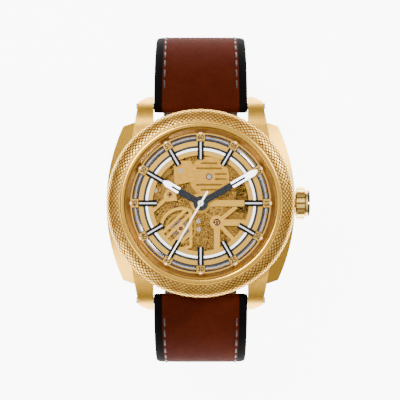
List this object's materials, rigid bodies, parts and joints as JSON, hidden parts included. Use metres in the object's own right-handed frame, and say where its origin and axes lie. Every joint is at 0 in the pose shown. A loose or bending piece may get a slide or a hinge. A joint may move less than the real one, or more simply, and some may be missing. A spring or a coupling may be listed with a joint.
{
  "type": "skeleton wristwatch",
  "caption": "Gold skeleton wristwatch with a knurled bezel, open-worked automatic movement and brown leather strap on a pin buckle, standing as a loop.",
  "frame": {"origin": "centre of the case back's outer flat face, on the hands' axis", "axes": "+Z out of the dial, +Y to 12 o'clock, +X to 3 o'clock (the crown)"},
  "size_m": [0.0475, 0.0784, 0.0655],
  "materials": {
    "gold_steel": "gold plated, brushed and polished",
    "gilt_brass": "brushed gilt",
    "steel": "polished",
    "silver_ring": "polished silver",
    "black_enamel": "black enamel",
    "dark_hand": "dark slate satin",
    "white_lume": "luminous paint",
    "ruby": "polished synthetic ruby",
    "crystal_glass": "clear polished",
    "black_rubber": "matt",
    "holder_plastic": "gilt moulded",
    "brown_leather": "waxed dark reddish brown with black edges",
    "black_leather": "matt lining",
    "thread": "waxed thread"
  },
  "bodies": {
    "case": {"mid_case": "gold_steel", "bezel": "gold_steel", "crystal": "crystal_glass", "gaskets": "black_rubber", "rehaut": "gold_steel", "case_back": "gold_steel", "back_glass": "crystal_glass", "spring_bars": "steel", "crown_tube": "gold_steel", "movement_holder": "holder_plastic", "main_plate": "gilt_brass", "train_bridge": "gilt_brass", "barrel_bridge": "gilt_brass", "front_bridge": "gilt_brass", "escape_bridge": "gilt_brass", "balance_cock": "gilt_brass", "jewels": "ruby", "movement_screws": "steel", "rotor_bearing": "steel", "dial": "gilt_brass", "inner_ring": "silver_ring", "outer_ring": "silver_ring", "number_plates": "gilt_brass", "hour_markers": "black_enamel", "marker_inlays": "white_lume", "lume_dots": "white_lume"},
    "seconds": {"seconds_hand": "white_lume", "fourth_wheel": "gilt_brass"},
    "minutes": {"minute_hand": "dark_hand", "minute_lume": "white_lume", "cannon_pinion": "steel", "centre_wheel": "gilt_brass"},
    "hours": {"hour_hand": "dark_hand", "hour_lume": "white_lume", "hour_wheel": "gilt_brass"},
    "third": {"third_wheel": "gilt_brass"},
    "escape": {"escape_wheel": "steel"},
    "mainspring_barrel": {"barrel": "gilt_brass"},
    "motion_work": {"minute_wheel": "gilt_brass"},
    "lever": {"pallet_fork": "steel"},
    "balance": {"balance_wheel": "gilt_brass", "hairspring": "steel"},
    "winding": {"winding_pinion": "steel"},
    "crown_set": {"crown": "gold_steel", "crown_inlay": "black_enamel", "crown_gasket": "black_rubber", "winding_stem": "steel"},
    "ratchet": {"ratchet_wheel": "steel"},
    "rotor_weight": {"rotor": "gilt_brass"},
    "strap_12": {"strap_12_leather": "brown_leather", "strap_12_lining": "black_leather", "stitching_12": "thread", "keeper_fixed": "brown_leather", "buckle_bar": "steel"},
    "strap_6": {"strap_6_leather": "brown_leather", "strap_6_lining": "black_leather", "stitching_6": "thread"},
    "free_keeper": {"keeper_free": "brown_leather"},
    "buckle": {"buckle_frame": "gold_steel"},
    "tongue": {"buckle_tongue": "gold_steel"}
  },
  "joints": [
    {"name": "seconds_turn", "type": "hinge", "parent": "case", "child": "seconds", "pos_m": [0, 0, 0.01], "axis": [0, 0, -1], "continuous": true},
    {"name": "minute_turn", "type": "hinge", "parent": "case", "child": "minutes", "pos_m": [0, 0, 0.0097], "axis": [0, 0, -1], "continuous": true},
    {"name": "hour_turn", "type": "hinge", "parent": "case", "child": "hours", "pos_m": [0, 0, 0.0093], "axis": [0, 0, -1], "continuous": true},
    {"name": "third_turn", "type": "hinge", "parent": "case", "child": "third", "pos_m": [0.0038, -0.00445, 0.0045], "axis": [0, 0, -1], "continuous": true},
    {"name": "escape_turn", "type": "hinge", "parent": "case", "child": "escape", "pos_m": [-0.00579, -0.00113, 0.0061], "axis": [0, 0, -1], "continuous": true},
    {"name": "barrel_turn", "type": "hinge", "parent": "case", "child": "mainspring_barrel", "pos_m": [0.00195, 0.0062, 0.0062], "axis": [0, 0, -1], "continuous": true},
    {"name": "minute_wheel_turn", "type": "hinge", "parent": "case", "child": "motion_work", "pos_m": [0.00301, -0.00109, 0.0076], "axis": [0, 0, -1], "continuous": true},
    {"name": "lever_rock", "type": "hinge", "parent": "case", "child": "lever", "pos_m": [-0.00521, -0.00345, 0.0061], "axis": [0, 0, -1], "range_deg": [-5, 5]},
    {"name": "balance_swing", "type": "hinge", "parent": "case", "child": "balance", "pos_m": [-0.0046, -0.0059, 0.0077], "axis": [0, 0, -1], "range_deg": [-150, 150]},
    {"name": "rotor_turn", "type": "hinge", "parent": "case", "child": "rotor_weight", "pos_m": [0, 0, 0.0029], "axis": [0, 0, -1], "continuous": true},
    {"name": "crown_turn", "type": "hinge", "parent": "case", "child": "winding", "pos_m": [0.0086, 0, 0.0054], "axis": [1, 0, 0], "continuous": true},
    {"name": "crown_pull", "type": "slide", "parent": "winding", "child": "crown_set", "axis": [1, 0, 0], "range_m": [0, 0.0008]},
    {"name": "ratchet_turn", "type": "hinge", "parent": "case", "child": "ratchet", "pos_m": [0.00195, 0.0062, 0.0043], "axis": [0, 0, -1], "continuous": true},
    {"name": "strap_6_swing", "type": "hinge", "parent": "case", "child": "strap_6", "pos_m": [0, -0.0228, 0.0045], "axis": [-1, 0, 0], "range_deg": [0, 45]},
    {"name": "strap_12_swing", "type": "hinge", "parent": "case", "child": "strap_12", "pos_m": [0, 0.0228, 0.0045], "axis": [1, 0, 0], "range_deg": [0, 36]},
    {"name": "keeper_slide", "type": "slide", "parent": "strap_12", "child": "free_keeper", "axis": [0, 1, 0], "range_m": [0, 0.005]},
    {"name": "buckle_swing", "type": "hinge", "parent": "strap_12", "child": "buckle", "pos_m": [0, -0.002, -0.045], "axis": [-1, 0, 0], "range_deg": [0, 60]},
    {"name": "tongue_swing", "type": "hinge", "parent": "buckle", "child": "tongue", "pos_m": [0, -0.002, -0.045], "axis": [1, 0, 0], "range_deg": [0, 10]}
  ],
  "couplings": [
    {"joint": "minute_turn", "follows": "seconds_turn", "ratio": 0.016667},
    {"joint": "hour_turn", "follows": "seconds_turn", "ratio": 0.0013889},
    {"joint": "third_turn", "follows": "seconds_turn", "ratio": -0.13333},
    {"joint": "escape_turn", "follows": "seconds_turn", "ratio": -12},
    {"joint": "barrel_turn", "follows": "seconds_turn", "ratio": -0.0027778},
    {"joint": "minute_wheel_turn", "follows": "seconds_turn", "ratio": -0.0055556},
    {"joint": "ratchet_turn", "follows": "crown_turn", "ratio": 0.3},
    {"joint": "strap_12_swing", "follows": "strap_6_swing", "ratio": 0.8}
  ]
}
